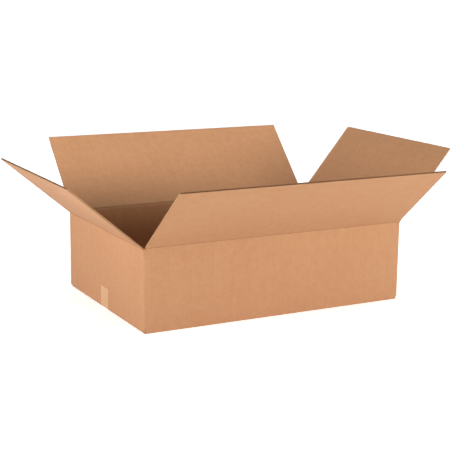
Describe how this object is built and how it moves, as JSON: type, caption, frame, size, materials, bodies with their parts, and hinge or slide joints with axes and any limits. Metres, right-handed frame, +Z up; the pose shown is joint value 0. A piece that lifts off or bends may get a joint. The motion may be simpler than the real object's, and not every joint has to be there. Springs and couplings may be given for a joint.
{
  "type": "open cardboard box",
  "caption": "Open slotted shipping carton of corrugated board with hinged top flaps folded outwards and a taped base.",
  "frame": {"origin": "centre of the underside of the base", "axes": "+X along the length towards the right short wall, +Y towards the back long wall, +Z up"},
  "size_m": [1.1321, 0.8885, 0.4146],
  "materials": {
    "corrugated_board": "matte kraft liner",
    "tape": "smooth kraft tape"
  },
  "bodies": {
    "carton": {"carton_body": "corrugated_board", "packing_tape": "tape"},
    "front_flap": {"front_flap": "corrugated_board"},
    "back_flap": {"back_flap": "corrugated_board"},
    "left_flap": {"left_flap": "corrugated_board"},
    "right_flap": {"right_flap": "corrugated_board"}
  },
  "joints": [
    {"name": "front_flap_fold", "type": "hinge", "parent": "carton", "child": "front_flap", "pos_m": [0, -0.258, 0.2196], "axis": [1, 0, 0], "range_deg": [-139, 91]},
    {"name": "back_flap_fold", "type": "hinge", "parent": "carton", "child": "back_flap", "pos_m": [0, 0.258, 0.2196], "axis": [-1, 0, 0], "range_deg": [-134, 96]},
    {"name": "left_flap_fold", "type": "hinge", "parent": "carton", "child": "left_flap", "pos_m": [-0.385, 0, 0.2152], "axis": [0, -1, 0], "range_deg": [-140, 90]},
    {"name": "right_flap_fold", "type": "hinge", "parent": "carton", "child": "right_flap", "pos_m": [0.385, 0, 0.2152], "axis": [0, 1, 0], "range_deg": [-130, 100]}
  ]
}
